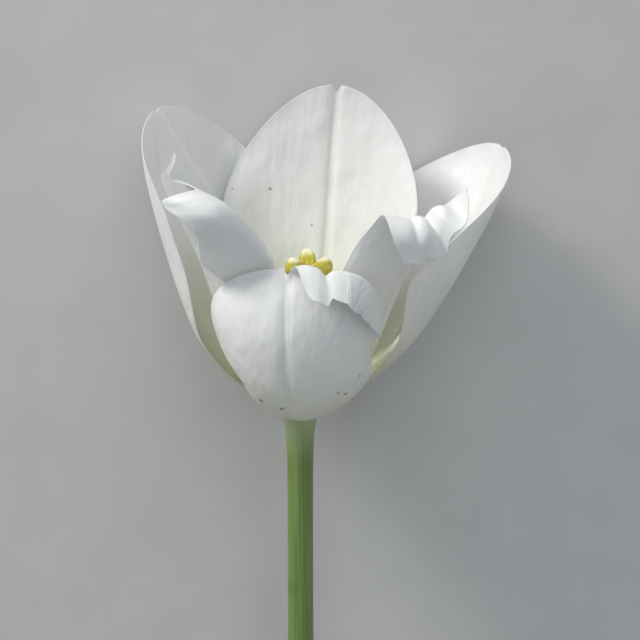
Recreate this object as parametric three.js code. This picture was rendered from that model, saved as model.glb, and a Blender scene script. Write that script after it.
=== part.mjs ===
// A white single tulip, picked above its top leaf and lying on its back.
// Millimetres. The flower is grown upright about its own axis (the receptacle
// at the origin, the mouth towards +Z, the front towards -Y) and then laid down.
import * as THREE from "three";

// Sizes of the flower.
const petalThickness = 0.8;
const plainGrid = [12, 14];
const foldedGrid = [24, 26];
const stepAlong = 0.5;

const stemLength = 205;
const stemTopRadius = 3.0;
const stemEndRadius = 3.7;
const stemBow = 5;
const receptacleRadius = 5.2;
const receptacleTop = 2.7;

const ovaryHeight = 26.2;
const ovaryRadius = 3.1;
const stigmaRadius = 6.1;
const pistilLean = 2.0;
const lobeTurn = 26;
const stigmaDip = 2.7;

const filamentRadius = 0.7;
const filamentLength = 8.5;
const antherLength = 12;
const antherRadius = 1.35;
const stamenCircle = 3.75;
const seat = 0.3;

// How the flower lies: turned about its own axis, then tipped on its back.
const lie = { roll: -8.754, tip: 6.921, shift: [-8.259, 67.437, 25.383] };

// Colours.
const white = { color: "#ecedea", roughness: 0.62 };
const green = { color: "#6f8f45", roughness: 0.55 };
const olive = { color: "#b3ab4c", roughness: 0.7 };
const cream = { color: "#d9cf86", roughness: 0.8 };

const rad = Math.PI / 180;

// Smooth step between 0 and 1.
function ease(t) {
  const c = Math.min(1, Math.max(0, t));
  return c * c * (3 - 2 * c);
}

// Smooth curve through (place, value) pairs.
function along(pairs, at) {
  const last = pairs.length - 1;
  if (at <= pairs[0][0]) return pairs[0][1];
  if (at >= pairs[last][0]) return pairs[last][1];
  let k = 0;
  while (at > pairs[k + 1][0]) k += 1;
  const slope = (i) => {
    const a = pairs[Math.max(i - 1, 0)];
    const b = pairs[Math.min(i + 1, last)];
    return (b[1] - a[1]) / (b[0] - a[0]);
  };
  const gap = pairs[k + 1][0] - pairs[k][0];
  const t = (at - pairs[k][0]) / gap;
  const startSlope = slope(k) * gap;
  const endSlope = slope(k + 1) * gap;
  return (2 * t ** 3 - 3 * t ** 2 + 1) * pairs[k][1] + (t ** 3 - 2 * t ** 2 + t) * startSlope
    + (-2 * t ** 3 + 3 * t ** 2) * pairs[k + 1][1] + (t ** 3 - t ** 2) * endSlope;
}

// Half width of a petal from its narrow claw to its shoulder, as shares of the length.
function outline(half, claw, low, middle = 0.93, high = 1, end = 0.92) {
  return [
    [0, half * claw],
    [0.12, half * (claw + low) / 2.1],
    [0.25, half * low * 1.05],
    [0.42, half * middle],
    [0.6, half * high],
    [0.8, half * end],
    [1.2, half * 0.7],
  ];
}

// The six petals.
// azimuth: place round the axis, from the front towards the right.
// lean: how far the midrib leans outwards, in degrees, from claw to tip.
// leftShare, rightShare: width of each side as a share of half.
// bend: radius of the cross-section, from claw to tip. curl: further turn of a margin.
// extra: further length, by place across the petal.
// fold: a roll of the blade about a line across it, measured on the flat petal.
const petals = {
  petal_rear_inner: {
    azimuth: 166, start: [5.0, 2.2], length: 73.3, shoulder: [0.42, 0.44], notch: 2,
    half: outline(25.1, 0.15, 0.6),
    lean: [[0, 72], [0.1, 54], [0.25, 28], [0.5, 16], [0.8, 6], [1, -3], [1.2, -8]],
    drift: [[0, 0], [0.5, 0], [1, -5]],
    bend: [[0, 5.5], [0.15, 13], [0.35, 24], [0.6, 34], [1, 48]],
    groove: [0.9, 1.3], ripple: [0.5, 2, 0.1],
  },
  petal_left_outer: {
    azimuth: -118, start: [5.6, 0], length: 76, shoulder: [0.27, 0.36], notch: 1,
    half: outline(26.5, 0.18, 0.68),
    rightShare: [[0, 1], [0.25, 0.84], [0.42, 0.86], [0.6, 0.855], [0.8, 0.925], [1, 0.98]],
    curlRight: [[0, 0], [0.3, 10], [0.6, 30], [1, 30]],
    lean: [[0, 82], [0.08, 66], [0.2, 37.5], [0.35, 23.5], [0.5, 21.5], [0.8, 13.5], [1, -5],
      [1.2, -10]],
    bend: [[0, 6.5], [0.15, 15], [0.35, 24], [0.6, 26], [1, 26]],
    groove: [0.6, 1.5], ripple: [0.5, 1.5, 0.3],
  },
  petal_right_outer: {
    azimuth: 118, start: [5.6, 0], length: 74, shoulder: [0.42, 0.42], notch: 0.5,
    half: outline(25.5, 0.18, 0.68),
    leftShare: [[0, 1], [0.2, 1.05], [0.45, 1.2], [0.6, 1.03], [0.8, 0.97], [1, 1]],
    curlLeft: [[0, 0], [0.3, 10], [0.6, 35], [1, 35]],
    lean: [[0, 84], [0.08, 71], [0.2, 50], [0.35, 41.5], [0.5, 38], [0.8, 31], [1, 18],
      [1.2, 12]],
    bend: [[0, 6.5], [0.15, 15], [0.35, 23], [0.6, 24], [1, 22]],
    groove: [0.6, 1.5], ripple: [0.5, 1.5, 0.6],
  },
  petal_left_inner: {
    azimuth: -60, start: [5.0, 2.2], length: 66, shoulder: [0.45, 0.1],
    peak: 0.22, tip: 5.5, tipWidth: 0.13, nick: [0.4, 4.5, 0.08], lobe: [0.6, 4.5, 0.25],
    half: outline(25, 0.15, 0.6),
    leftShare: [[0, 0.85], [1, 0.85]],
    rightShare: [[0, 1], [0.3, 0.85], [0.45, 0.92], [0.58, 1.17], [0.7, 1.28], [0.8, 1.33],
      [0.95, 1.45], [1.2, 1.5]],
    lean: [[0, 72], [0.1, 50], [0.25, 20], [0.5, 18], [0.8, 26], [1, 18], [1.2, 5]],
    bend: [[0, 5.5], [0.15, 11], [0.35, 15], [0.6, 17], [1, 22]],
    fold: {
      at: [14, 57], angle: 32, bow: 0.03, after: [6.5, 12],
      radius: [[-28, 1.2], [-14, 1.4], [-6, 2], [3, 4.2], [10, 4.4]],
      waves: [[-20, -2.5, 9]],
      turn: [[-36, 0], [-28, 80], [-22, 172], [-7, 172], [2, 156], [8, 150], [30, 150]],
    },
  },
  petal_right_inner: {
    azimuth: 52, start: [5.0, 2.2], length: 75, shoulder: [0.02, 0.3], peak: -0.85,
    lobe: [0.02, 7, 0.22],
    extra: [[-1, -1], [-0.82, -1.6], [-0.7, -0.6], [-0.62, -1.4], [-0.52, -0.2], [-0.42, 2.4],
      [-0.3, 2.6], [-0.12, 0.8], [0, -0.5], [0.06, 1], [0.12, 2.6], [0.18, 4], [0.26, 4.6],
      [0.36, 2.5], [0.5, 0], [1, 0]],
    half: outline(25, 0.15, 0.6),
    leftShare: [[0, 1], [0.35, 0.66], [0.55, 0.58], [0.66, 0.6], [0.8, 0.64], [1, 0.8]],
    rightShare: [[0, 0.8], [1, 0.8]],
    lean: [[0, 74], [0.1, 53], [0.25, 24], [0.5, 26], [0.8, 34.5], [1, 27], [1.2, 20]],
    bend: [[0, 5.5], [0.15, 11], [0.35, 12.6], [0.6, 12.8], [1, 22]],
    fold: {
      at: [-6, 60.5], angle: 112, radius: [[-9, 3.4], [0, 4.2], [10, 4]],
      waves: [[-1.4, 2.2, 0.9], [-4, -1.6, 1.8], [2.2, 0.7, 0.8], [8, -1, 3]],
      turn: [[-18, 0], [-12, 10], [-8.5, 32], [-5.5, 75], [-2, 122], [2, 158], [15, 165],
        [23, 120], [29, 0]],
    },
  },
  petal_front_outer: {
    azimuth: -5, start: [5.6, 0], length: 59, shoulder: [0.26, 0.1], notch: 1.5, level: 0.25,
    half: outline(23.2, 0.18, 0.56, 0.94, 1, 1),
    extra: [[-0.1, 0], [0, 0], [0.04, 0.8], [0.08, 3], [0.13, 6.5], [0.2, 9.3], [0.28, 8.7],
      [0.34, 5.8], [0.39, 7.4], [0.45, 8.2], [0.52, 8.4], [0.6, 8.6], [0.7, 8.9], [0.8, 8.8],
      [0.87, 8.3], [0.94, 7.4], [1, 5]],
    leftShare: [[0, 1], [0.15, 0.75], [0.3, 0.62], [0.44, 0.74], [0.57, 0.85], [0.8, 0.95],
      [1, 0.98]],
    rightShare: [[0, 1], [0.3, 0.92], [0.6, 0.89], [0.66, 0.86], [0.72, 1.02], [0.79, 1.2],
      [0.88, 1.29], [1, 1.3]],
    lean: [[0, 86], [0.1, 80], [0.25, 67], [0.4, 39], [0.55, 16], [0.7, 2], [0.85, -20],
      [1, -48], [1.2, -65]],
    bend: [[0, 6.5], [0.15, 14], [0.35, 21], [0.6, 22], [1, 22]],
    bendLeft: [[0, 6.5], [0.15, 8], [0.3, 9.5], [0.44, 12], [0.57, 16], [0.8, 19.5], [1, 20]],
    groove: [-0.5, 1.2],
    fold: {
      at: [10.3, 46], round: 9.1, radius: [[-30, 1.6], [90, 2], [150, 2.5]],
      waves: [[107, 1.2, 6], [132, -0.9, 18]],
      turn: [[-61, 0], [-44, 20], [-32, 130], [-16, 165], [20, 165], [60, 155], [90, 150],
        [118, 150], [138, 145], [146, 100], [153, 45], [159, 0], [300, 0]],
    },
  },
};

// The midrib in the petal's own plane, as radial, sideways and axial places.
function midribOf(p) {
  const points = [[p.start[0], 0, p.start[1]]];
  const count = Math.floor(p.length * 1.25 / stepAlong) + 2;
  let [r, t, z] = points[0];
  for (let k = 0; k < count; k += 1) {
    const y = (k + 0.5) * stepAlong / p.length;
    const lean = along(p.lean, y) * rad;
    const drift = p.drift ? along(p.drift, y) * rad : 0;
    r += Math.sin(lean) * Math.cos(drift) * stepAlong;
    z += Math.cos(lean) * Math.cos(drift) * stepAlong;
    t += Math.sin(drift) * stepAlong;
    points.push([r, t, z]);
  }
  return points;
}

function midribAt(points, y) {
  const k = Math.max(0, Math.min(y / stepAlong, points.length - 1.001));
  const i = Math.floor(k);
  const f = k - i;
  return points[i].map((c, axis) => c + (points[i + 1][axis] - c) * f);
}

// A place on the smooth blade, s across and y along the flat petal.
function bladeAt(p, midrib, s, y) {
  const v = y / p.length;
  let lean = along(p.lean, v) * rad;
  if (lean < 0 && p.level) lean *= p.level;
  const curve = 1 / along(s < 0 && p.bendLeft ? p.bendLeft : p.bend, v);
  const margin = s < 0 ? p.curlLeft : p.curlRight;
  const curl = margin ? along(margin, v) * rad : 0;
  const wide = along(p.half, v);
  const count = 10;
  const ds = Math.abs(s) / count;
  let across = 0;
  let inward = 0;
  for (let i = 0; i < count; i += 1) {
    const q = (i + 0.5) * ds;
    const turn = curve * q + curl * Math.min(1.5, q / wide) ** 3;
    across += Math.cos(turn) * ds;
    inward += Math.sin(turn) * ds;
  }
  if (s < 0) across = -across;
  const m = midribAt(midrib, y);
  return [m[0] - inward * Math.cos(lean), m[1] + across, m[2] + inward * Math.sin(lean)];
}

// The same place raised off the blade along its outward normal.
function raisedAt(p, midrib, s, y, lift) {
  const e = 0.4;
  const c = bladeAt(p, midrib, s, y);
  if (Math.abs(lift) < 1e-6) return c;
  const a1 = bladeAt(p, midrib, s - e, y);
  const a2 = bladeAt(p, midrib, s + e, y);
  const b1 = bladeAt(p, midrib, s, y - e);
  const b2 = bladeAt(p, midrib, s, y + e);
  const u = a2.map((q, i) => q - a1[i]);
  const v = b2.map((q, i) => q - b1[i]);
  const n = [u[1] * v[2] - u[2] * v[1], u[2] * v[0] - u[0] * v[2], u[0] * v[1] - u[1] * v[0]];
  const size = Math.hypot(...n);
  return c.map((q, i) => q + lift * n[i] / size);
}

// Length of the flat petal at u across it: rounded shoulders, a tip, a notch, lobes.
function lengthAt(p, u) {
  const peak = p.peak || 0;
  const drop = p.shoulder[u < peak ? 0 : 1];
  let full = p.length * (1 - drop * (1 - Math.cos(Math.asin(u) - Math.asin(peak))));
  if (p.tip) full += p.tip * Math.exp(-Math.abs(u - peak) / (p.tipWidth || 0.08));
  if (p.notch) full -= p.notch * Math.exp(-((u / 0.035) ** 2));
  if (p.extra) full += along(p.extra, u);
  if (p.nick) full -= p.nick[1] * Math.exp(-(((u - p.nick[0]) / p.nick[2]) ** 2));
  if (p.lobe) full += p.lobe[1] * Math.exp(-(((u - p.lobe[0]) / p.lobe[2]) ** 2));
  return full;
}

// Rolls the blade outwards beyond the fold line: the new place and its lift.
function foldedAt(fold, s, y) {
  if (!fold) return [s, y, 0];
  const ds = s - fold.at[0];
  const dy = y - fold.at[1];
  let nx = Math.cos((fold.angle || 0) * rad);
  let ny = Math.sin((fold.angle || 0) * rad);
  let t = -ds * ny + dy * nx;
  let d = ds * nx + dy * ny + (fold.bow || 0) * Math.min(t * t, 300);
  if (fold.round) {
    // comes up, turns in a quarter circle and runs on across; t is how far along, in its degrees
    const right = Math.max(ds, 0);
    const up = Math.max(dy, 0);
    const away = Math.max(Math.hypot(right, up), 1e-6);
    nx = right / away;
    ny = up / away;
    d = away - fold.round;
    t = (Math.atan2(up, right) + (Math.min(dy, 0) - Math.min(ds, 0)) / fold.round) / rad;
  }
  for (const [at, high, wide] of fold.waves || []) d += high * Math.exp(-(((t - at) / wide) ** 2));
  if (d <= 0) return [s, y, 0];
  let turn = along(fold.turn, t) * rad;
  if (fold.after) turn *= ease((s - fold.after[0]) / (fold.after[1] - fold.after[0]));
  if (turn < 1e-4) return [s, y, 0];
  const radius = along(fold.radius, t);
  const arc = Math.min(turn, d / radius);
  const rest = d - radius * arc;
  const forward = radius * Math.sin(arc) + rest * Math.cos(arc);
  const lift = radius * (1 - Math.cos(arc)) + rest * Math.sin(arc);
  return [s + (forward - d) * nx, y + (forward - d) * ny, lift];
}

// A place on the finished petal, u -1..1 across and v 0..1 along, in flower axes.
function petalAt(p, midrib, u, v) {
  const y = v * lengthAt(p, u);
  const share = u < 0 ? p.leftShare : p.rightShare;
  const s = u * along(p.half, y / p.length) * (share ? along(share, y / p.length) : 1);
  let relief = 0;
  if (p.groove) relief += p.groove[0] * Math.exp(-((s / p.groove[1]) ** 2)) * ease(v * 5);
  if (p.ripple) {
    const wave = Math.sin(2 * Math.PI * (p.ripple[1] * v + p.ripple[2]) + (u > 0 ? 1.5 : 0));
    relief += p.ripple[0] * Math.abs(u) ** 2.2 * wave * ease(v * 2.5);
  }
  const [s2, y2, lift] = foldedAt(p.fold, s, y);
  const [r, t, z] = raisedAt(p, midrib, s2, y2, lift + relief);
  const a = p.azimuth * rad;
  return new THREE.Vector3(r * Math.sin(a) + t * Math.cos(a), -r * Math.cos(a) + t * Math.sin(a), z);
}

// Closed solids.
function solid(points, faces) {
  const geometry = new THREE.BufferGeometry();
  const flat = [];
  for (const q of points) flat.push(q.x, q.y, q.z);
  geometry.setAttribute("position", new THREE.Float32BufferAttribute(flat, 3));
  let volume = 0;
  for (const [a, b, c] of faces) {
    volume += points[a].dot(new THREE.Vector3().crossVectors(points[b], points[c]));
  }
  const outward = volume < 0 ? faces.map(([a, b, c]) => [a, c, b]) : faces;
  geometry.setIndex(outward.flat());
  geometry.computeVertexNormals();
  return geometry;
}

// A thin blade: a grid of places, thickened to both sides and closed round its rim.
function sheet(grid, thickness) {
  const rows = grid.length;
  const columns = grid[0].length;
  const upper = [];
  const lower = [];
  for (let j = 0; j < rows; j += 1) {
    for (let i = 0; i < columns; i += 1) {
      const across = new THREE.Vector3().subVectors(
        grid[j][Math.min(i + 1, columns - 1)], grid[j][Math.max(i - 1, 0)]);
      const up = new THREE.Vector3().subVectors(
        grid[Math.min(j + 1, rows - 1)][i], grid[Math.max(j - 1, 0)][i]);
      const half = new THREE.Vector3().crossVectors(across, up).setLength(thickness / 2);
      upper.push(grid[j][i].clone().add(half));
      lower.push(grid[j][i].clone().sub(half));
    }
  }
  const faces = [];
  const under = rows * columns;
  const at = (j, i) => j * columns + i;
  for (let j = 0; j < rows - 1; j += 1) {
    for (let i = 0; i < columns - 1; i += 1) {
      const [a, b, c, d] = [at(j, i), at(j, i + 1), at(j + 1, i + 1), at(j + 1, i)];
      faces.push([a, b, c], [a, c, d]);
      faces.push([under + a, under + c, under + b], [under + a, under + d, under + c]);
    }
  }
  const rim = [];
  for (let i = 0; i < columns; i += 1) rim.push(at(0, i));
  for (let j = 1; j < rows; j += 1) rim.push(at(j, columns - 1));
  for (let i = columns - 2; i >= 0; i -= 1) rim.push(at(rows - 1, i));
  for (let j = rows - 2; j >= 1; j -= 1) rim.push(at(j, 0));
  rim.forEach((a, k) => {
    const b = rim[(k + 1) % rim.length];
    faces.push([a, under + a, under + b], [a, under + b, b]);
  });
  return solid([...upper, ...lower], faces);
}

// A body drawn through rings of equal count, closed by a point at each end.
function loft(rings, first, last) {
  const count = rings[0].length;
  const points = rings.flat();
  const faces = [];
  for (let j = 0; j < rings.length - 1; j += 1) {
    for (let i = 0; i < count; i += 1) {
      const a = j * count + i;
      const b = j * count + (i + 1) % count;
      faces.push([a, b, b + count], [a, b + count, a + count]);
    }
  }
  const foot = points.push(first) - 1;
  const head = points.push(last) - 1;
  const top = (rings.length - 1) * count;
  for (let i = 0; i < count; i += 1) {
    faces.push([foot, (i + 1) % count, i]);
    faces.push([head, top + i, top + (i + 1) % count]);
  }
  return solid(points, faces);
}

// The pieces.
function petal(p) {
  const midrib = midribOf(p);
  const [columns, rows] = p.fold ? foldedGrid : plainGrid;
  const grid = [];
  for (let j = 0; j <= rows; j += 1) {
    const row = [];
    const v = 1 - (1 - j / rows) ** (p.fold ? 1.4 : 1.1);
    for (let i = 0; i <= columns; i += 1) {
      const x = 2 * i / columns - 1;
      const u = (x + Math.sin(x * Math.PI / 2)) / 2;
      row.push(petalAt(p, midrib, Math.max(-1, Math.min(1, u)), v));
    }
    grid.push(row);
  }
  return sheet(grid, petalThickness);
}

// The stem's centre line bows a little to the rear towards the cut.
function stemCentre(z) {
  const k = Math.min(0, z) / stemLength;
  return new THREE.Vector3(0, stemBow * (k * k - 1.6 * k * k * k * k), z);
}

function stem() {
  const sides = 16;
  const heights = [
    [-stemLength, stemEndRadius - 0.5],
    [-stemLength + 0.6, stemEndRadius],
    [-stemLength + 30, stemEndRadius - 0.15],
    [-stemLength + 65, stemEndRadius - 0.3],
    [-stemLength + 100, stemTopRadius + 0.22],
    [-stemLength + 130, stemTopRadius + 0.1],
    [-stemLength + 155, stemTopRadius + 0.02],
    [-stemLength + 178, stemTopRadius],
    [-14, stemTopRadius + 0.05],
    [-8, stemTopRadius + 0.3],
    [-5, stemTopRadius + 0.75],
    [-2.8, stemTopRadius + 1.4],
    [-1.2, receptacleRadius - 0.35],
    [-0.4, receptacleRadius],
    [0.6, receptacleRadius],
    [1.3, receptacleRadius - 0.65],
    [2.2, receptacleRadius - 0.65],
    [receptacleTop, receptacleRadius - 1.1],
  ];
  const rings = heights.map(([z, r]) => {
    const c = stemCentre(z);
    const ring = [];
    for (let i = 0; i < sides; i += 1) {
      const a = 2 * Math.PI * i / sides;
      ring.push(new THREE.Vector3(c.x + r * Math.cos(a), c.y + r * Math.sin(a), c.z));
    }
    return ring;
  });
  return loft(rings, stemCentre(-stemLength), new THREE.Vector3(0, 0, receptacleTop));
}

// Ovary of three carpels under a stigma of three curled lobes.
function pistil() {
  const sides = 36;
  const foot = receptacleTop + seat;
  const top = foot + ovaryHeight;
  // height, radius between the lobes, radius at the lobes
  const profile = [
    [foot, 2.1, 2.2],
    [foot + 0.8, 2.3, 2.6],
    [foot + 4, ovaryRadius - 0.5, ovaryRadius],
    [foot + 10, ovaryRadius - 0.35, ovaryRadius + 0.15],
    [foot + 17, ovaryRadius - 0.5, ovaryRadius - 0.05],
    [foot + 22, ovaryRadius - 0.9, ovaryRadius - 0.5],
    [top, ovaryRadius - 1.2, ovaryRadius - 0.5],
    [top + 1.2, ovaryRadius - 1.5, stigmaRadius - 1.8],
    [top + 2.2, ovaryRadius - 1.6, stigmaRadius - 0.5],
    [top + 3.4, ovaryRadius - 1.7, stigmaRadius],
    [top + 4.8, ovaryRadius - 1.8, stigmaRadius - 0.2],
    [top + 5.8, ovaryRadius - 1.9, stigmaRadius - 0.9],
    [top + 6.3, ovaryRadius - 2.1, stigmaRadius - 1.9],
    [top + 5.6, ovaryRadius - 2.3, stigmaRadius - 3.2],
    [top + 3.6, 0.5, 0.9],
  ];
  const rings = profile.map(([z, low, high]) => {
    const ring = [];
    const aside = pistilLean * ease((z - foot) / (ovaryHeight + 6));
    for (let i = 0; i < sides; i += 1) {
      const a = 2 * Math.PI * i / sides;
      const lobe = ((1 + Math.cos(3 * (a + lobeTurn * rad))) / 2) ** (z > top ? 0.85 : 1);
      const r = low + (high - low) * lobe;
      // the stigma's rim dips between the lobes
      const dip = stigmaDip * (1 - lobe) * Math.min(1, Math.max(0, (z - top) / 6.3));
      ring.push(new THREE.Vector3(r * Math.cos(a) + aside, r * Math.sin(a), z - dip));
    }
    return ring;
  });
  return loft(rings, new THREE.Vector3(0, 0, foot), new THREE.Vector3(pistilLean, 0, top + 2.6));
}

// A filament with its anther, standing on the receptacle round the ovary.
function stamen(azimuth, tilt) {
  const sides = 8;
  const foot = receptacleTop + seat;
  const neck = filamentLength;
  const profile = [
    [0, filamentRadius * 0.9, 0],
    [0.5, filamentRadius, 0],
    [neck * 0.6, filamentRadius * 0.8, 0],
    [neck - 0.6, filamentRadius * 0.5, 0],
    [neck + 0.2, antherRadius * 0.62, 0.1],
    [neck + 1.2, antherRadius * 0.95, 0.22],
    [neck + antherLength * 0.4, antherRadius, 0.26],
    [neck + antherLength * 0.75, antherRadius * 0.92, 0.24],
    [neck + antherLength * 0.95, antherRadius * 0.62, 0.15],
    [neck + antherLength, antherRadius * 0.3, 0],
  ];
  const a = azimuth * rad;
  const outward = new THREE.Vector3(Math.sin(a), -Math.cos(a), 0);
  const aside = new THREE.Vector3(Math.cos(a), Math.sin(a), 0);
  const rise = new THREE.Vector3(0, 0, 1);
  const place = (h, x, y) => {
    const lean = h * Math.tan(tilt * rad);
    return new THREE.Vector3()
      .addScaledVector(outward, stamenCircle + lean + y)
      .addScaledVector(aside, x)
      .addScaledVector(rise, foot + h);
  };
  const rings = profile.map(([h, r, lobed]) => {
    const ring = [];
    for (let i = 0; i < sides; i += 1) {
      const b = 2 * Math.PI * (i + 0.5) / sides;
      const q = r * (1 - lobed * Math.cos(b) ** 8 - lobed * Math.sin(b) ** 8);
      ring.push(place(h, q * Math.cos(b), q * 0.8 * Math.sin(b)));
    }
    return ring;
  });
  return loft(rings, place(0, 0, 0), place(neck + antherLength + 0.3, 0, 0));
}

// The flower.
const flower = new THREE.Group();
flower.name = "flower";

function add(name, geometry, look) {
  const material = new THREE.MeshStandardMaterial({
    color: look.color, roughness: look.roughness, metalness: 0, side: THREE.FrontSide,
  });
  const mesh = new THREE.Mesh(geometry, material);
  mesh.name = name;
  flower.add(mesh);
}

add("stem", stem(), green);
for (const [name, p] of Object.entries(petals)) add(name, petal(p), white);
add("pistil", pistil(), olive);
const stamenPlaces = {
  front: -20, front_right: 40, rear_right: 100, rear: 160, rear_left: 220, front_left: 280,
};
for (const [name, azimuth] of Object.entries(stamenPlaces)) {
  add(`stamen_${name}`, stamen(azimuth, 8), cream);
}

// Laid on its back, with the stem along -Y and the bloom along +Y.
const turned = new THREE.Group();
turned.name = "turned";
turned.rotation.set(0, 0, lie.roll * rad);
turned.add(flower);
const tulip = new THREE.Group();
tulip.name = "white_dream_tulip";
turned.position.set(0, 0, 0);
const tipped = new THREE.Group();
tipped.name = "tipped";
tipped.rotation.set(-(90 - lie.tip) * rad, 0, 0);
tipped.position.set(...lie.shift);
tipped.add(turned);
tulip.add(tipped);

export default tulip;
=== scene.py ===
# A white tulip laid on a pale table top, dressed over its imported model.
import math

import bmesh
import bpy
import numpy as np
from mathutils import Matrix, Vector


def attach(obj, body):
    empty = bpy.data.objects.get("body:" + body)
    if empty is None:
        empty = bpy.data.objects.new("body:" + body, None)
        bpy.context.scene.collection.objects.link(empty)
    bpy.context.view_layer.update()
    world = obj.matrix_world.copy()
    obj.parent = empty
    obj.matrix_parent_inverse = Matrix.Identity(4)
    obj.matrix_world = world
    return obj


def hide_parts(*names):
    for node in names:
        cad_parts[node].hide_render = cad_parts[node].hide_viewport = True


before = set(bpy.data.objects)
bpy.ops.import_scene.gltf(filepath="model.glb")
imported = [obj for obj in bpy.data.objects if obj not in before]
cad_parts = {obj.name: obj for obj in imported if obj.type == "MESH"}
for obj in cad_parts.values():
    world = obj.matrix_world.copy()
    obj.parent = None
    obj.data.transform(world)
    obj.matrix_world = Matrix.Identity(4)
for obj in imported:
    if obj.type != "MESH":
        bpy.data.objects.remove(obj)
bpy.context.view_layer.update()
print("model loaded")

mm = 0.001
# How the flower lies: turned about its own axis, tipped on its back, moved into place.
lie = {"roll": -8.754, "tip": 6.921, "shift": (-8.259, 67.437, 25.383)}
laid = (Matrix.Translation(Vector(lie["shift"]) * mm)
        @ Matrix.Rotation(math.radians(lie["tip"] - 90), 4, "X")
        @ Matrix.Rotation(math.radians(lie["roll"]), 4, "Z"))
laidTurn = np.array(laid.to_3x3())
laidShift = np.array(laid.translation)


def inPlace(points):
    # places in millimetres about the flower's own axis, carried onto the table in metres
    return np.asarray(points, float) * mm @ laidTurn.T + laidShift


def ease(t):
    c = np.clip(t, 0, 1)
    return c * c * (3 - 2 * c)


def along(pairs, at):
    # smooth curve through (place, value) pairs
    x = np.array([q[0] for q in pairs], float)
    y = np.array([q[1] for q in pairs], float)
    slope = np.empty_like(y)
    for i in range(len(x)):
        a, b = max(i - 1, 0), min(i + 1, len(x) - 1)
        slope[i] = (y[b] - y[a]) / (x[b] - x[a])
    at = np.clip(np.asarray(at, float), x[0], x[-1])
    k = np.clip(np.searchsorted(x, at, side="left") - 1, 0, len(x) - 2)
    gap = x[k + 1] - x[k]
    t = (at - x[k]) / gap
    return ((2 * t**3 - 3 * t**2 + 1) * y[k] + (t**3 - 2 * t**2 + t) * slope[k] * gap
            + (-2 * t**3 + 3 * t**2) * y[k + 1] + (t**3 - t**2) * slope[k + 1] * gap)


def outline(half, claw, low, middle=0.93, high=1.0, end=0.92):
    # half width of a petal from its claw to its shoulder, over its length
    return [(0, half * claw), (0.12, half * (claw + low) / 2.1), (0.25, half * low * 1.05),
            (0.42, half * middle), (0.6, half * high), (0.8, half * end), (1.2, half * 0.7)]


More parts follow.
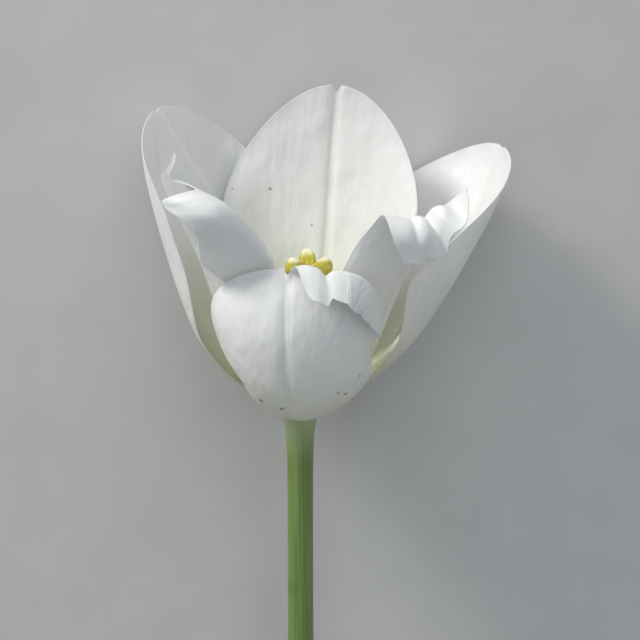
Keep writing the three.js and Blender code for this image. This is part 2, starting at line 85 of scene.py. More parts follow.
# The six petals: the same forms as the model's, in millimetres and degrees.
petals = {
    "rearInner": {
        "node": "petal_rear_inner", "azimuth": 166, "start": (5.0, 2.2), "length": 73.3,
        "shoulder": (0.42, 0.44), "notch": 2, "half": outline(25.1, 0.15, 0.6),
        "lean": [(0, 72), (0.1, 54), (0.25, 28), (0.5, 16), (0.8, 6), (1, -3), (1.2, -8)],
        "drift": [(0, 0), (0.5, 0), (1, -5)],
        "bend": [(0, 5.5), (0.15, 13), (0.35, 24), (0.6, 34), (1, 48)],
        "groove": (0.9, 1.3), "ripple": (0.5, 2, 0.1),
        "marks": [(22.9, 47.6, 0.34, 0.5), (13.9, 47.8, 0.4, 0.85), (3.5, 39.7, 0.34, 0.6)],
    },
    "leftOuter": {
        "node": "petal_left_outer", "azimuth": -118, "start": (5.6, 0), "length": 76,
        "shoulder": (0.27, 0.36), "notch": 1, "half": outline(26.5, 0.18, 0.68),
        "rightShare": [(0, 1), (0.25, 0.84), (0.42, 0.86), (0.6, 0.855), (0.8, 0.925), (1, 0.98)],
        "curlRight": [(0, 0), (0.3, 10), (0.6, 30), (1, 30)],
        "lean": [(0, 82), (0.08, 66), (0.2, 37.5), (0.35, 23.5), (0.5, 21.5), (0.8, 13.5), (1, -5),
                 (1.2, -10)],
        "bend": [(0, 6.5), (0.15, 15), (0.35, 24), (0.6, 26), (1, 26)],
        "groove": (0.6, 1.5), "ripple": (0.5, 1.5, 0.3), "lines": 0,
        "ridge": [(0, 0), (14, -5), (32, -12), (42, -14.5), (51.3, -13.7), (57, -11.2), (61.2, -9.4),
                  (67.8, -6.2), (72.6, -3), (76, -0.4)],
    },
    "rightOuter": {
        "node": "petal_right_outer", "azimuth": 118, "start": (5.6, 0), "length": 74,
        "shoulder": (0.42, 0.42), "notch": 0.5, "half": outline(25.5, 0.18, 0.68),
        "leftShare": [(0, 1), (0.2, 1.05), (0.45, 1.2), (0.6, 1.03), (0.8, 0.97), (1, 1)],
        "curlLeft": [(0, 0), (0.3, 10), (0.6, 35), (1, 35)],
        "lean": [(0, 84), (0.08, 71), (0.2, 50), (0.35, 41.5), (0.5, 38), (0.8, 31), (1, 18),
                 (1.2, 12)],
        "bend": [(0, 6.5), (0.15, 15), (0.35, 23), (0.6, 24), (1, 22)],
        "groove": (0.6, 1.5), "ripple": (0.5, 1.5, 0.6), "marks": [(3.3, 20.4, 0.4, 0.7)],
        "ridge": [(0, -2), (8, -8), (13, -13), (19.4, -18.6), (25.7, -23.6), (31.8, -25.6),
                  (38, -26.8), (50, -28)],
    },
    "leftInner": {
        "node": "petal_left_inner", "azimuth": -60, "start": (5.0, 2.2), "length": 66,
        "shoulder": (0.45, 0.1), "peak": 0.22, "tip": 5.5, "tipWidth": 0.13,
        "nick": (0.4, 4.5, 0.08), "lobe": (0.6, 4.5, 0.25), "fan": 0.6,
        "half": outline(25, 0.15, 0.6), "leftShare": [(0, 0.85), (1, 0.85)],
        "rightShare": [(0, 1), (0.3, 0.85), (0.45, 0.92), (0.58, 1.17), (0.7, 1.28), (0.8, 1.33),
                       (0.95, 1.45), (1.2, 1.5)],
        "lean": [(0, 72), (0.1, 50), (0.25, 20), (0.5, 18), (0.8, 26), (1, 18), (1.2, 5)],
        "bend": [(0, 5.5), (0.15, 11), (0.35, 15), (0.6, 17), (1, 22)],
        "fold": {"at": (14, 57), "angle": 32, "bow": 0.03, "after": (6.5, 12),
                 "radius": [(-28, 1.2), (-14, 1.4), (-6, 2), (3, 4.2), (10, 4.4)],
                 "waves": [(-20, -2.5, 9)],
                 "turn": [(-36, 0), (-28, 80), (-22, 172), (-7, 172), (2, 156), (8, 150), (30, 150)]},
    },
    "rightInner": {
        "node": "petal_right_inner", "azimuth": 52, "start": (5.0, 2.2), "length": 75,
        "shoulder": (0.02, 0.3), "peak": -0.85, "lobe": (0.02, 7, 0.22), "fan": 0.45,
        "extra": [(-1, -1), (-0.82, -1.6), (-0.7, -0.6), (-0.62, -1.4), (-0.52, -0.2), (-0.42, 2.4),
                  (-0.3, 2.6), (-0.12, 0.8), (0, -0.5), (0.06, 1), (0.12, 2.6), (0.18, 4), (0.26, 4.6),
                  (0.36, 2.5), (0.5, 0), (1, 0)],
        "half": outline(25, 0.15, 0.6),
        "leftShare": [(0, 1), (0.35, 0.66), (0.55, 0.58), (0.66, 0.6), (0.8, 0.64), (1, 0.8)],
        "rightShare": [(0, 0.8), (1, 0.8)],
        "lean": [(0, 74), (0.1, 53), (0.25, 24), (0.5, 26), (0.8, 34.5), (1, 27), (1.2, 20)],
        "bend": [(0, 5.5), (0.15, 11), (0.35, 12.6), (0.6, 12.8), (1, 22)],
        "fold": {"at": (-6, 60.5), "angle": 112, "radius": [(-9, 3.4), (0, 4.2), (10, 4)],
                 "waves": [(-1.4, 2.2, 0.9), (-4, -1.6, 1.8), (2.2, 0.7, 0.8), (8, -1, 3)],
                 "turn": [(-18, 0), (-12, 10), (-8.5, 32), (-5.5, 75), (-2, 122), (2, 158), (15, 165),
                          (23, 120), (29, 0)]},
    },
    "frontOuter": {
        "node": "petal_front_outer", "azimuth": -5, "start": (5.6, 0), "length": 59,
        "shoulder": (0.26, 0.1), "notch": 1.5, "level": 0.25, "fan": 0.45,
        "marks": [(-6.1, 25.0, 0.75, 0.8), (-1.4, 24.1, 0.65, 0.75), (11.3, 27.4, 0.5, 0.7),
                  (13.1, 25.5, 0.6, 0.8), (16.9, 30.0, 0.45, 0.7)],
        "half": outline(23.2, 0.18, 0.56, 0.94, 1, 1),
        "extra": [(-0.1, 0), (0, 0), (0.04, 0.8), (0.08, 3), (0.13, 6.5), (0.2, 9.3), (0.28, 8.7),
                  (0.34, 5.8), (0.39, 7.4), (0.45, 8.2), (0.52, 8.4), (0.6, 8.6), (0.7, 8.9), (0.8, 8.8),
                  (0.87, 8.3), (0.94, 7.4), (1, 5)],
        "leftShare": [(0, 1), (0.15, 0.75), (0.3, 0.62), (0.44, 0.74), (0.57, 0.85), (0.8, 0.95),
                      (1, 0.98)],
        "rightShare": [(0, 1), (0.3, 0.92), (0.6, 0.89), (0.66, 0.86), (0.72, 1.02), (0.79, 1.2),
                       (0.88, 1.29), (1, 1.3)],
        "bendLeft": [(0, 6.5), (0.15, 8), (0.3, 9.5), (0.44, 12), (0.57, 16), (0.8, 19.5), (1, 20)],
        "lean": [(0, 86), (0.1, 80), (0.25, 67), (0.4, 39), (0.55, 16), (0.7, 2), (0.85, -20),
                 (1, -48), (1.2, -65)],
        "bend": [(0, 6.5), (0.15, 14), (0.35, 21), (0.6, 22), (1, 22)],
        "groove": (-0.5, 1.2),
        "fold": {"at": (10.3, 46), "round": 9.1, "radius": [(-30, 1.6), (90, 2), (150, 2.5)],
                 "waves": [(107, 1.2, 6), (132, -0.9, 18)],
                 "turn": [(-61, 0), (-44, 20), (-32, 130), (-16, 165), (20, 165), (60, 155), (90, 150),
                          (118, 150), (138, 145), (146, 100), (153, 45), (159, 0), (300, 0)]},
    },
}
flatMargin = [(0, 0), (1, 0)]
noRidge = [(0, 99), (80, 99)]  # beyond the margin, where nothing shows
# "margin" is the share of the thickness left at the edge, "strips" how many parts the bend of half
# a blade is added up from, "probe" how far to each side the slope is taken
blade = {"columns": 150, "rows": 168, "thickness": 0.5, "margin": 0.35, "step": 0.5,
         "strips": 10, "probe": 0.4}


def midribOf(p):
    # the midrib in the petal's own plane: radial, sideways and axial places, a step apart
    count = int(p["length"] * 1.25 / blade["step"]) + 2
    y = (np.arange(count) + 0.5) * blade["step"] / p["length"]
    lean = np.radians(along(p["lean"], y))
    drift = np.radians(along(p["drift"], y)) if "drift" in p else np.zeros(count)
    steps = np.stack([np.sin(lean) * np.cos(drift), np.sin(drift), np.cos(lean) * np.cos(drift)], 1)
    first = np.array([[p["start"][0], 0, p["start"][1]]])
    return np.concatenate([first, first + np.cumsum(steps * blade["step"], 0)])


def bladeAt(p, midrib, s, y):
    # s across and y along the flat petal, to a place on the smooth blade
    v = y / p["length"]
    lean = np.radians(along(p["lean"], v))
    lean = np.where(lean < 0, lean * p.get("level", 1), lean)
    curve = 1 / np.where(s < 0, along(p.get("bendLeft", p["bend"]), v), along(p["bend"], v))
    # the margins may curl in more than the middle
    curl = np.where(s < 0, along(p.get("curlLeft", flatMargin), v),
                    along(p.get("curlRight", flatMargin), v))
    q = (np.arange(blade["strips"]) + 0.5) * np.abs(s)[:, None] / blade["strips"]
    outwards = np.minimum(1.5, q / along(p["half"], v)[:, None])
    turn = curve[:, None] * q + np.radians(curl)[:, None] * outwards ** 3
    across = np.cos(turn).mean(1) * s
    inward = np.sin(turn).mean(1) * np.abs(s)
    k = np.clip(y / blade["step"], 0, len(midrib) - 1.001)
    i = k.astype(int)
    m = midrib[i] + (midrib[i + 1] - midrib[i]) * (k - i)[:, None]
    return np.stack([m[:, 0] - inward * np.cos(lean), m[:, 1] + across,
                     m[:, 2] + inward * np.sin(lean)], 1)


def raisedAt(p, midrib, s, y, lift):
    # the same place, lifted off the smooth blade along its slope
    e = blade["probe"]
    u = bladeAt(p, midrib, s + e, y) - bladeAt(p, midrib, s - e, y)
    v = bladeAt(p, midrib, s, y + e) - bladeAt(p, midrib, s, y - e)
    n = np.cross(u, v)
    n /= np.linalg.norm(n, axis=1)[:, None]
    return bladeAt(p, midrib, s, y) + n * lift[:, None]


def lengthAt(p, u):
    # rounded shoulders, a tip, a notch at the midrib, a nick and a lobe
    peak = p.get("peak", 0)
    drop = np.where(u < peak, p["shoulder"][0], p["shoulder"][1])
    full = p["length"] * (1 - drop * (1 - np.cos(np.arcsin(u) - math.asin(peak))))
    full += p.get("tip", 0) * np.exp(-np.abs(u - peak) / p.get("tipWidth", 0.08))
    full -= p.get("notch", 0) * np.exp(-((u / 0.035) ** 2))
    if "extra" in p:
        full += along(p["extra"], u)
    for name, sign in (("nick", -1), ("lobe", 1)):
        if name in p:
            place, high, wide = p[name]
            full += sign * high * np.exp(-(((u - place) / wide) ** 2))
    return full


def foldedAt(fold, s, y):
    # rolls the blade outwards beyond the fold line
    if not fold:
        return s, y, np.zeros_like(s)
    ds, dy = s - fold["at"][0], y - fold["at"][1]
    if "round" in fold:
        # a fold line that comes up, turns in a quarter circle and runs on across; t is how far
        # along it a place is, in degrees of that circle
        right, up = np.maximum(ds, 0), np.maximum(dy, 0)
        away = np.maximum(np.hypot(right, up), 1e-6)
        nx, ny = right / away, up / away
        d = away - fold["round"]
        t = np.degrees(np.arctan2(up, right) + (np.minimum(dy, 0) - np.minimum(ds, 0)) / fold["round"])
    else:
        nx, ny = math.cos(math.radians(fold["angle"])), math.sin(math.radians(fold["angle"]))
        t = -ds * ny + dy * nx
        d = ds * nx + dy * ny + fold.get("bow", 0) * np.minimum(t * t, 300)
    for place, high, wide in fold.get("waves", []):
        d = d + high * np.exp(-(((t - place) / wide) ** 2))
    turn = np.radians(along(fold["turn"], t))
    if "after" in fold:
        turn = turn * ease((s - fold["after"][0]) / (fold["after"][1] - fold["after"][0]))
    rolled = (d > 0) & (turn > 1e-4)
    r = along(fold["radius"], t)
    arc = np.where(rolled, np.minimum(turn, d / r), 0)
    rest = d - r * arc
    forward = np.where(rolled, r * np.sin(arc) + rest * np.cos(arc) - d, 0)
    lift = np.where(rolled, r * (1 - np.cos(arc)) + rest * np.sin(arc), 0)
    return s + forward * nx, y + forward * ny, lift


def petalAt(p, u, v):
    # u -1..1 across and v 0..1 along: the place, and where it is on the flat petal
    midrib = midribOf(p)
    y = v * lengthAt(p, u)
    half = along(p["half"], y / p["length"])
    left = along(p["leftShare"], y / p["length"]) if "leftShare" in p else 1
    right = along(p["rightShare"], y / p["length"]) if "rightShare" in p else 1
    s = u * half * np.where(u < 0, left, right)
    relief = np.zeros_like(u)
    if "groove" in p:
        relief += p["groove"][0] * np.exp(-((s / p["groove"][1]) ** 2)) * ease(v * 5)
    if "ripple" in p:
        high, count, phase = p["ripple"]
        wave = np.sin(2 * np.pi * (count * v + phase) + np.where(u > 0, 1.5, 0))
        relief += high * np.abs(u) ** 2.2 * wave * ease(v * 2.5)
    s2, y2, lift = foldedAt(p.get("fold"), s, y)
    r, t, z = raisedAt(p, midrib, s2, y2, lift + relief).T
    a = math.radians(p["azimuth"])
    place = np.stack([r * math.sin(a) + t * math.cos(a), -r * math.cos(a) + t * math.sin(a), z], 1)
    return place, s, y


def finished(name, mesh, node, material):
    piece = bpy.data.objects.new(name, mesh)
    bpy.context.scene.collection.objects.link(piece)
    mesh.materials.append(material)
    for face in mesh.polygons:
        face.use_smooth = True
    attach(piece, "root")
    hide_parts(node)
    return piece


def smoothed(piece):
    smooth = piece.modifiers.new("smooth", "SUBSURF")
    smooth.levels = smooth.render_levels = 1


def petal(name, p, material):
    bm = bmesh.new()
    bmesh.ops.create_grid(bm, x_segments=blade["columns"], y_segments=blade["rows"], size=1)
    bm.verts.ensure_lookup_table()
    flat = np.array([v.co[:] for v in bm.verts])
    x = np.clip(flat[:, 0], -1, 1)
    u = np.clip((x + np.sin(x * np.pi / 2)) / 2, -1, 1)
    v = 1 - (1 - (np.clip(flat[:, 1], -1, 1) + 1) / 2) ** 1.25
    place, s, y = petalAt(p, u, v)
    for vert, q in zip(bm.verts, inPlace(place)):
        vert.co = q
    mesh = bpy.data.meshes.new(name)
    bm.to_mesh(mesh)
    bm.free()
    # what the material reads: places on the flat petal in millimetres, and as shares of it
    fromRidge = s - along(p.get("ridge", noRidge), y)
    for label, values in (("across", s), ("alongBlade", y), ("side", u), ("rise", v),
                          ("fromRidge", fromRidge)):
        mesh.attributes.new(label, "FLOAT", "POINT").data.foreach_set("value", values.astype("f"))
    piece = finished(name, mesh, p["node"], material)
    thin = piece.vertex_groups.new(name="thin")
    weight = np.minimum(ease((1 - np.abs(u)) * 5 + 0.02), ease((1 - v) * 7 + 0.02))
    for i, w in enumerate(weight):
        thin.add([i], float(w), "REPLACE")
    wall = piece.modifiers.new("thickness", "SOLIDIFY")
    wall.thickness = blade["thickness"] * mm
    wall.offset = 0
    wall.vertex_group = "thin"
    wall.thickness_vertex_group = blade["margin"]
    return piece


# Materials.
def newMaterial(name):
    material = bpy.data.materials.new(name)
    material.use_nodes = True
    tree = material.node_tree
    tree.nodes.clear()
    out = tree.nodes.new("ShaderNodeOutputMaterial")
    shader = tree.nodes.new("ShaderNodeBsdfPrincipled")
    tree.links.new(shader.outputs[0], out.inputs[0])
    return material, tree, shader


def math2(tree, operation, a, b=0.0, c=None):
    n = tree.nodes.new("ShaderNodeMath")
    n.operation = operation
    for socket, value in zip(n.inputs, (a, b) if c is None else (a, b, c)):
        if isinstance(value, (int, float)):
            socket.default_value = value
        else:
            tree.links.new(value, socket)
    return n.outputs[0]


def attribute(tree, name):
    n = tree.nodes.new("ShaderNodeAttribute")
    n.attribute_name = name
    return n.outputs["Fac"]


def vector(tree, x, y, z=0.0):
    n = tree.nodes.new("ShaderNodeCombineXYZ")
    for socket, value in zip(n.inputs, (x, y, z)):
        if isinstance(value, (int, float)):
            socket.default_value = value
        else:
            tree.links.new(value, socket)
    return n.outputs[0]


def stretched(tree, x, byX, y, byY, z=0.0):
    return vector(tree, math2(tree, "MULTIPLY", x, byX), math2(tree, "MULTIPLY", y, byY), z)


def noise(tree, place, scale, detail=2.0, rough=0.5):
    n = tree.nodes.new("ShaderNodeTexNoise")
    n.inputs["Scale"].default_value = scale
    n.inputs["Detail"].default_value = detail
    n.inputs["Roughness"].default_value = rough
    tree.links.new(place, n.inputs["Vector"])
    return n.outputs["Fac"]


def span(tree, value, low, high, toLow=0.0, toHigh=1.0):
    n = tree.nodes.new("ShaderNodeMapRange")
    n.interpolation_type = "SMOOTHSTEP"
    for name, q in (("From Min", low), ("From Max", high), ("To Min", toLow), ("To Max", toHigh)):
        n.inputs[name].default_value = q
    tree.links.new(value, n.inputs["Value"])
    return n.outputs["Result"]


def blend(tree, share, first, second):
    n = tree.nodes.new("ShaderNodeMix")
    n.data_type = "RGBA"
    sockets = {"share": n.inputs[0], "first": n.inputs[6], "second": n.inputs[7]}
    for key, value in (("share", share), ("first", first), ("second", second)):
        if isinstance(value, tuple):
            sockets[key].default_value = (*value, 1)
        elif isinstance(value, (int, float)):
            sockets[key].default_value = value
        else:
            tree.links.new(value, sockets[key])
    return n.outputs[2]


def bump(tree, height, distance, shader, strength=1.0, below=None):
    n = tree.nodes.new("ShaderNodeBump")
    n.inputs["Strength"].default_value = strength
    n.inputs["Distance"].default_value = distance
    tree.links.new(height, n.inputs["Height"])
    if below is not None:
        tree.links.new(below, n.inputs["Normal"])
    tree.links.new(n.outputs[0], shader.inputs["Normal"])
    return n.outputs[0]


def letThrough(shader, weight, radius, depth):
    # light that enters and comes out again nearby, depth in millimetres
    shader.inputs["Subsurface Weight"].default_value = weight
    shader.inputs["Subsurface Radius"].default_value = radius
    shader.inputs["Subsurface Scale"].default_value = depth * mm


def objectPlace(tree):
    return tree.nodes.new("ShaderNodeTexCoord").outputs["Object"]


def flowerPlace(tree):
    # the place about the flower's own axis, in metres, whole and in its three parts
    back = laid.inverted()
    turned = tree.nodes.new("ShaderNodeMapping")
    turned.inputs["Location"].default_value = back.translation
    turned.inputs["Rotation"].default_value = back.to_euler()
    tree.links.new(objectPlace(tree), turned.inputs["Vector"])
    parts = tree.nodes.new("ShaderNodeSeparateXYZ")
    tree.links.new(turned.outputs[0], parts.inputs[0])
    return turned.outputs[0], parts.outputs


petalLook = {
    # base and cream are partly the petal's own tint and partly painted warm shade of its lower parts
    "white": (0.875, 0.88, 0.87), "vein": (0.8, 0.815, 0.79), "base": (0.58, 0.62, 0.36),
    # ridge, on the next line, is a painted highlight along a raised rib
    "cream": (0.79, 0.79, 0.64), "ridge": (0.95, 0.95, 0.93),
    # the last colour on the next line is painted shade for the two thin furrows beside the midrib
    "rib": (0.8, 0.82, 0.71), "mark": (0.26, 0.13, 0.06), "furrowShade": (0.7, 0.64, 0.5),
    "roughness": 0.46, "through": 0.32, "depth": 1.6, "sheen": 0.1,
    "fan": 0.28, "lines": 0.35,
}
# heights of the petal's relief in millimetres, each with its strength
petalRelief = {"coarse": (0.35, 0.5), "fine": (0.06, 0.6), "ridge": (0.1, 0.7), "dents": (1.5, 0.6),
               "cells": (0.04, 0.7)}


def petalMaterial(name, p):
    material, tree, shader = newMaterial(name)
    across, rise = attribute(tree, "across"), attribute(tree, "rise")
    side, lengthwise = attribute(tree, "side"), attribute(tree, "alongBlade")
    # the veins run up the petal and fan out to its margins
    fan = p.get("fan", petalLook["fan"])
    spread = math2(tree, "MULTIPLY", math2(tree, "MULTIPLY", rise, rise), -fan)
    fanned = math2(tree, "MULTIPLY", side, math2(tree, "ADD", spread, 1.0))
    wavy = noise(tree, stretched(tree, across, 0.12, lengthwise, 0.07), 1.0, 2.0)
    fanned = math2(tree, "ADD", fanned, math2(tree, "MULTIPLY", wavy, 0.06))
    coarse = noise(tree, stretched(tree, fanned, 15.0, rise, 1.1), 1.0, 1.0, 0.5)
    fine = noise(tree, stretched(tree, fanned, 46.0, rise, 2.6), 1.0, 2.0, 0.6)
    # they show in some places more than in others
    places = noise(tree, stretched(tree, across, 0.07, lengthwise, 0.05, 3.0), 1.0, 1.0)
    shown = span(tree, places, 0.35, 0.65, 0.35, 1)
    colour = blend(tree, math2(tree, "MULTIPLY", span(tree, fine, 0.46, 0.74, 0, 0.5), shown),
                   petalLook["white"], petalLook["vein"])
    colour = blend(tree, span(tree, coarse, 0.5, 0.75, 0, 0.3), colour, petalLook["vein"])
    fromRib = math2(tree, "ABSOLUTE", across)
    rib = span(tree, fromRib, 0.25, 1.4, 0.6, 0)
    colour = blend(tree, math2(tree, "MULTIPLY", rib, span(tree, rise, 1.0, 0.35, 0, 1)), colour,
                   petalLook["rib"])
    # painted shade: a fine dark line on each side of the midrib, where its two thin furrows lie
    lines = span(tree, math2(tree, "ABSOLUTE", math2(tree, "SUBTRACT", fromRib, 0.75)), 0.0, 0.32,
                 1, 0)
    colour = blend(tree, math2(tree, "MULTIPLY", lines, p.get("lines", petalLook["lines"])), colour,
                   petalLook["furrowShade"])
    # a painted highlight along a raised rib beside the middle, on the petals that have one; the rib also
    # gets a low bump below
    ridge = span(tree, math2(tree, "ABSOLUTE", attribute(tree, "fromRidge")), 0.15, 0.8, 1, 0)
    colour = blend(tree, math2(tree, "MULTIPLY", ridge, 0.9), colour, petalLook["ridge"])
    # cream towards the foot of each petal and green at the very foot: partly the petal's own tint,
    # partly painted warm shade of its lower parts
    low = math2(tree, "ADD", lengthwise, math2(tree, "MULTIPLY", wavy, 8.0))
    colour = blend(tree, span(tree, low, 54, 18, 0, 0.8), colour, petalLook["cream"])
    colour = blend(tree, span(tree, low, 30, 6, 0, 0.9), colour, petalLook["base"])
    # small blemishes: across, along, size, depth of colour
    for u, y, size, depth in p.get("marks", []):
        away = vector(tree, math2(tree, "SUBTRACT", across, u), math2(tree, "SUBTRACT", lengthwise, y))
        length = tree.nodes.new("ShaderNodeVectorMath")
        length.operation = "LENGTH"
        tree.links.new(away, length.inputs[0])
        ragged = math2(tree, "ADD", length.outputs["Value"],
                       math2(tree, "MULTIPLY", noise(tree, away, 2.2 / size, 3.0), size * 1.4))
        colour = blend(tree, span(tree, ragged, size * 1.9, size * 1.0, 0, depth), colour,
                       petalLook["mark"])
    tree.links.new(colour, shader.inputs["Base Color"])
    tree.links.new(span(tree, wavy, 0.3, 0.7, petalLook["roughness"] - 0.06,
                        petalLook["roughness"] + 0.08), shader.inputs["Roughness"])
    letThrough(shader, petalLook["through"], (1, 0.95, 0.85), petalLook["depth"])
    shader.inputs["Sheen Weight"].default_value = petalLook["sheen"]
    # soft dents between the veins, and the skin's fine cells
    dents = noise(tree, stretched(tree, across, 0.16, lengthwise, 0.09), 1.0, 2.0)
    cells = noise(tree, stretched(tree, across, 5.0, lengthwise, 2.2), 1.0, 3.0)
    below = None
    for label, height in (("coarse", coarse), ("fine", fine), ("ridge", ridge), ("dents", dents),
                          ("cells", cells)):
        high, strength = petalRelief[label]
        below = bump(tree, height, high * mm, shader, strength, below)
    return material


for name, p in petals.items():
    label = name[0].upper() + name[1:]
    petal("petal" + label, p, petalMaterial("petalWhite" + label, p))
print("petals made")


# The stem, with the flared head that carries the bloom.
stemForm = {
    "length": 205, "bow": 5, "sides": 40,
    "rings": [(-205, 3.2), (-204.4, 3.7), (-175, 3.55), (-140, 3.4), (-105, 3.22), (-75, 3.1),
              (-50, 3.02), (-27, 3.0), (-14, 3.05), (-8, 3.3), (-5, 3.75), (-2.8, 4.4), (-1.2, 4.85),
              (-0.4, 5.2), (0.6, 5.2), (1.3, 4.55), (2.2, 4.55), (2.7, 4.1)],
}


def drawn(name, rings):
    # a closed body drawn through rings of equal count by extruding the first one
    bm = bmesh.new()
    bmesh.ops.create_circle(bm, cap_ends=False, segments=len(rings[0]), radius=1)
    bm.verts.ensure_lookup_table()
    ring = list(bm.verts)
    for vert, q in zip(ring, rings[0]):
        vert.co = q
    first = ring
    for places in rings[1:]:
        edges = [bm.edges.get((ring[i], ring[(i + 1) % len(ring)])) for i in range(len(ring))]
        made = bmesh.ops.extrude_edge_only(bm, edges=edges)["geom"]
        fresh = [g for g in made if isinstance(g, bmesh.types.BMVert)]
        # the new ring keeps the order of the old one
        partner = {}
        for vert in fresh:
            for edge in vert.link_edges:
                other = edge.other_vert(vert)
                if other in ring:
                    partner[other] = vert
        ring = [partner[vert] for vert in ring]
        for vert, q in zip(ring, places):
            vert.co = q
    for end in (first, ring):
        edges = [bm.edges.get((end[i], end[(i + 1) % len(end)])) for i in range(len(end))]
        bmesh.ops.holes_fill(bm, edges=edges, sides=0)
    bmesh.ops.poke(bm, faces=[f for f in bm.faces if len(f.verts) > 4])
    bmesh.ops.recalc_face_normals(bm, faces=bm.faces)
    mesh = bpy.data.meshes.new(name)
    bm.to_mesh(mesh)
    bm.free()
    return mesh


def stemCentre(z):
    k = np.minimum(0, z) / stemForm["length"]
    return stemForm["bow"] * (k * k - 1.6 * k**4)


def stemMesh():
    heights = [q[0] for q in stemForm["rings"]]
    fine = sorted(set(heights) | set(np.arange(-202, -10, 4.0)))
    radii = np.interp(fine, heights, [q[1] for q in stemForm["rings"]])
    rings = []
    for z, r in zip(fine, radii):
        a = 2 * np.pi * np.arange(stemForm["sides"]) / stemForm["sides"]
        rings.append(inPlace(np.stack([r * np.cos(a), stemCentre(z) + r * np.sin(a), z + 0 * a], 1)))
    return drawn("stem", rings)


stemLook = {"green": (0.16, 0.26, 0.06), "pale": (0.3, 0.4, 0.15), "deep": (0.1, 0.18, 0.04),
            "head": (0.5, 0.58, 0.33), "cut": (0.5, 0.55, 0.32)}


def stemMaterial():
    material, tree, shader = newMaterial("stemGreen")
    place, (x, y, z) = flowerPlace(tree)
    around = math2(tree, "ARCTAN2", y, x)
    fibres = noise(tree, stretched(tree, around, 6.0, z, 30.0), 1.0, 3.0)
    mottle = noise(tree, place, 90.0, 3.0)
    colour = blend(tree, span(tree, fibres, 0.35, 0.7, 0, 0.55), stemLook["green"], stemLook["pale"])
    colour = blend(tree, span(tree, mottle, 0.5, 0.75, 0, 0.4), colour, stemLook["deep"])
    colour = blend(tree, span(tree, z, -0.016, -0.001, 0, 0.9), colour, stemLook["head"])
    colour = blend(tree, span(tree, z, -0.2046, -0.2052, 0, 0.9), colour, stemLook["cut"])
    tree.links.new(colour, shader.inputs["Base Color"])
    tree.links.new(span(tree, mottle, 0.3, 0.7, 0.36, 0.5), shader.inputs["Roughness"])
    letThrough(shader, 0.12, (0.7, 1, 0.4), 1.2)
    below = bump(tree, fibres, 0.08 * mm, shader, 0.7)
    bump(tree, noise(tree, place, 900.0, 2.0), 0.03 * mm, shader, 0.6, below)
    return material


smoothed(finished("tulipStem", stemMesh(), "stem", stemMaterial()))
print("stem made")

# Ovary and stigma.
pistilForm = {"foot": 3.0, "height": 26.2, "ovary": 3.1, "stigma": 6.1, "lean": 2.0, "sides": 96,
              "turn": 26, "dip": 2.7}


def pistilMesh():
    f = pistilForm
    top = f["foot"] + f["height"]
    # height, radius between the lobes, radius at the lobes
    profile = [
        (f["foot"], 2.1, 2.2), (f["foot"] + 0.8, 2.3, 2.6),
        (f["foot"] + 4, f["ovary"] - 0.5, f["ovary"]),
        (f["foot"] + 10, f["ovary"] - 0.35, f["ovary"] + 0.15),
        (f["foot"] + 17, f["ovary"] - 0.5, f["ovary"] - 0.05),
        (f["foot"] + 22, f["ovary"] - 0.9, f["ovary"] - 0.5),
        (top, f["ovary"] - 1.2, f["ovary"] - 0.5),
        (top + 1.2, f["ovary"] - 1.5, f["stigma"] - 1.8),
        (top + 2.2, f["ovary"] - 1.6, f["stigma"] - 0.5),
        (top + 3.4, f["ovary"] - 1.7, f["stigma"]),
        (top + 4.8, f["ovary"] - 1.8, f["stigma"] - 0.2),
        (top + 5.8, f["ovary"] - 1.9, f["stigma"] - 0.9),
        (top + 6.3, f["ovary"] - 2.1, f["stigma"] - 1.9),
        (top + 5.6, f["ovary"] - 2.3, f["stigma"] - 3.2),
        (top + 3.6, 0.5, 0.9),
    ]
    rings = []
    for z, low, high in profile:
        a = 2 * np.pi * np.arange(f["sides"]) / f["sides"]
        lobe = ((1 + np.cos(3 * (a + math.radians(f["turn"])))) / 2) ** (0.85 if z > top else 1)
        aside = f["lean"] * ease((z - f["foot"]) / (f["height"] + 6))
        r = low + (high - low) * lobe
        # the stigma's rim dips between the lobes
        dip = f["dip"] * (1 - lobe) * min(1, max(0, (z - top) / 6.3))
        rings.append(inPlace(np.stack([r * np.cos(a) + aside, r * np.sin(a), z - dip], 1)))
    return drawn("pistil", rings)


pistilLook = {"ovary": (0.55, 0.6, 0.3), "stigma": (0.5, 0.43, 0.03), "crest": (0.86, 0.84, 0.62)}


def pistilMaterial():
    material, tree, shader = newMaterial("pistilOlive")
    place, (x, y, z) = flowerPlace(tree)
    grain = noise(tree, place, 1600.0, 3.0)
    patches = noise(tree, place, 260.0, 2.0)
    colour = blend(tree, span(tree, z, 0.0282, 0.0307, 0, 1), pistilLook["ovary"], pistilLook["stigma"])
    high = math2(tree, "ADD", z, math2(tree, "MULTIPLY", patches, 0.0012))
    colour = blend(tree, span(tree, high, 0.0347, 0.0357, 0, 0.9), colour, pistilLook["crest"])
    colour = blend(tree, span(tree, grain, 0.5, 0.8, 0, 0.4), colour, pistilLook["crest"])
    tree.links.new(colour, shader.inputs["Base Color"])
    shader.inputs["Roughness"].default_value = 0.62
    letThrough(shader, 0.3, (1, 0.8, 0.3), 1.0)
    bump(tree, grain, 0.12 * mm, shader, 1.0)
    return material


smoothed(finished("tulipPistil", pistilMesh(), "pistil", pistilMaterial()))
print("pistil made")

# Six stamens round the ovary.
stamenForm = {"filament": 0.7, "neck": 8.5, "anther": 12, "antherRadius": 1.35, "circle": 3.75,
              "foot": 3.0, "tilt": 8, "sides": 32}
stamenPlaces = {"front": -20, "front_right": 40, "rear_right": 100, "rear": 160, "rear_left": 220,
                "front_left": 280}


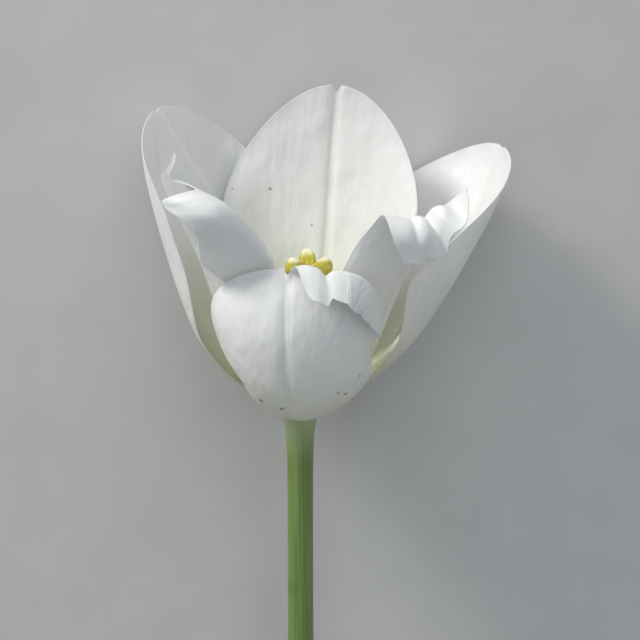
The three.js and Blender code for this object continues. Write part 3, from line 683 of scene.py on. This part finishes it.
def stamenMesh(name, azimuth):
    f = stamenForm
    neck, high, wide = f["neck"], f["anther"], f["antherRadius"]
    profile = [
        (0, f["filament"] * 0.9, 0), (0.5, f["filament"], 0), (neck * 0.3, f["filament"] * 0.92, 0),
        (neck * 0.6, f["filament"] * 0.8, 0), (neck - 0.6, f["filament"] * 0.5, 0),
        (neck + 0.2, wide * 0.62, 0.1), (neck + 1.2, wide * 0.95, 0.22),
        (neck + high * 0.25, wide, 0.25), (neck + high * 0.4, wide, 0.26),
        (neck + high * 0.58, wide * 0.97, 0.25), (neck + high * 0.75, wide * 0.92, 0.24),
        (neck + high * 0.95, wide * 0.62, 0.15), (neck + high, wide * 0.3, 0),
    ]
    a = math.radians(azimuth)
    outward = np.array([math.sin(a), -math.cos(a), 0])
    aside = np.array([math.cos(a), math.sin(a), 0])
    rings = []
    for h, r, lobed in profile:
        b = 2 * np.pi * (np.arange(f["sides"]) + 0.5) / f["sides"]
        q = r * (1 - lobed * np.cos(b) ** 8 - lobed * np.sin(b) ** 8)
        lean = h * math.tan(math.radians(f["tilt"]))
        ring = (outward * (f["circle"] + lean + (q * 0.8 * np.sin(b))[:, None])
                + aside * (q * np.cos(b))[:, None] + np.array([0, 0, f["foot"] + h]))
        rings.append(inPlace(ring))
    return drawn(name, rings)


stamenLook = {"filament": (0.78, 0.8, 0.6), "anther": (0.76, 0.7, 0.36), "dust": (0.86, 0.8, 0.5)}


def stamenMaterial():
    material, tree, shader = newMaterial("stamenCream")
    place, (x, y, z) = flowerPlace(tree)
    grain = noise(tree, place, 2600.0, 2.0)
    colour = blend(tree, span(tree, z, 0.0108, 0.0118, 0, 1), stamenLook["filament"],
                   stamenLook["anther"])
    colour = blend(tree, span(tree, grain, 0.45, 0.7, 0, 0.6), colour, stamenLook["dust"])
    tree.links.new(colour, shader.inputs["Base Color"])
    shader.inputs["Roughness"].default_value = 0.85
    letThrough(shader, 0.15, (1, 0.8, 0.4), 0.8)
    bump(tree, grain, 0.1 * mm, shader, 1.0)
    return material


cream = stamenMaterial()
for name, azimuth in stamenPlaces.items():
    label = "stamen" + "".join(w.capitalize() for w in name.split("_"))
    smoothed(finished(label, stamenMesh(label, azimuth), "stamen_" + name, cream))
print("stamens made")

# Floor, light and camera.
studio = {
    "floor": (0.66, 0.655, 0.645), "key": 9.4, "keySize": 0.28, "keyWay": (-0.6, -0.18, 0.78),
    "keyDistance": 1.1, "keyColour": (1.0, 0.985, 0.95),
    "fill": 8, "fillSize": 1.6, "fillWay": (0.12, -0.75, 0.65), "fillDistance": 1.8,
    "fillColour": (0.93, 0.96, 1.0), "air": (0.9, 0.95, 1.0), "airStrength": 0.32,
}
# millimetres and degrees; the receptacle's place and the frame's width are in pixels of the picture
photoView = {"elevation": 20, "distance": 600, "pixel": 0.23, "receptacle": (300, 400), "frame": 640,
             "sensor": 36}


def floorPiece():
    bm = bmesh.new()
    bmesh.ops.create_grid(bm, x_segments=8, y_segments=8, size=3)
    mesh = bpy.data.meshes.new("floor")
    bm.to_mesh(mesh)
    bm.free()
    floor = bpy.data.objects.new("floor", mesh)
    bpy.context.scene.collection.objects.link(floor)
    material, tree, shader = newMaterial("floorPale")
    speckle = noise(tree, objectPlace(tree), 60.0, 4.0)
    deep = tuple(c * 0.96 for c in studio["floor"])
    tree.links.new(blend(tree, span(tree, speckle, 0.3, 0.7), studio["floor"], deep),
                   shader.inputs["Base Color"])
    shader.inputs["Roughness"].default_value = 0.85
    mesh.materials.append(material)


def lamp(name):
    # an area light that faces the middle of the bloom, its way given about the flower's own axis
    light = bpy.data.lights.new(name + "Light", "AREA")
    light.size = studio[name + "Size"]
    light.energy = studio[name]
    light.color = studio[name + "Colour"]
    lampObject = bpy.data.objects.new(name + "Light", light)
    bpy.context.scene.collection.objects.link(lampObject)
    way = (laid.to_3x3() @ Vector(studio[name + "Way"])).normalized()
    middle = laid @ Vector((0, 0, 0.035))
    lampObject.location = middle + way * studio[name + "Distance"]
    lampObject.rotation_euler = way.to_track_quat("Z", "Y").to_euler()


floorPiece()
lamp("key")
lamp("fill")
world = bpy.data.worlds.new("air")
world.use_nodes = True
world.node_tree.nodes["Background"].inputs["Color"].default_value = (*studio["air"], 1)
world.node_tree.nodes["Background"].inputs["Strength"].default_value = studio["airStrength"]
bpy.context.scene.world = world

camera = bpy.data.objects.new("camera", bpy.data.cameras.new("camera"))
bpy.context.scene.collection.objects.link(camera)
tilt = math.radians(photoView["elevation"])
back = Vector((0, -math.cos(tilt), math.sin(tilt)))
right = Vector((1, 0, 0))
up = Vector((0, math.sin(tilt), math.cos(tilt)))
half = photoView["frame"] / 2
aside = (half - photoView["receptacle"][0]) * photoView["pixel"]
above = (photoView["receptacle"][1] - half) * photoView["pixel"]
stand = (back * photoView["distance"] + right * aside + up * above) * mm
turn = Matrix((right, up, back)).transposed().to_4x4()
camera.matrix_world = laid @ Matrix.Translation(stand) @ turn
camera.data.sensor_width = photoView["sensor"]
seen = photoView["pixel"] * photoView["frame"]  # width of what the camera sees at that distance
camera.data.lens = photoView["sensor"] * photoView["distance"] / seen
camera.data.clip_start, camera.data.clip_end = 0.05, 20
bpy.context.scene.camera = camera
bpy.context.scene.view_settings.view_transform = "Standard"
print("studio made")
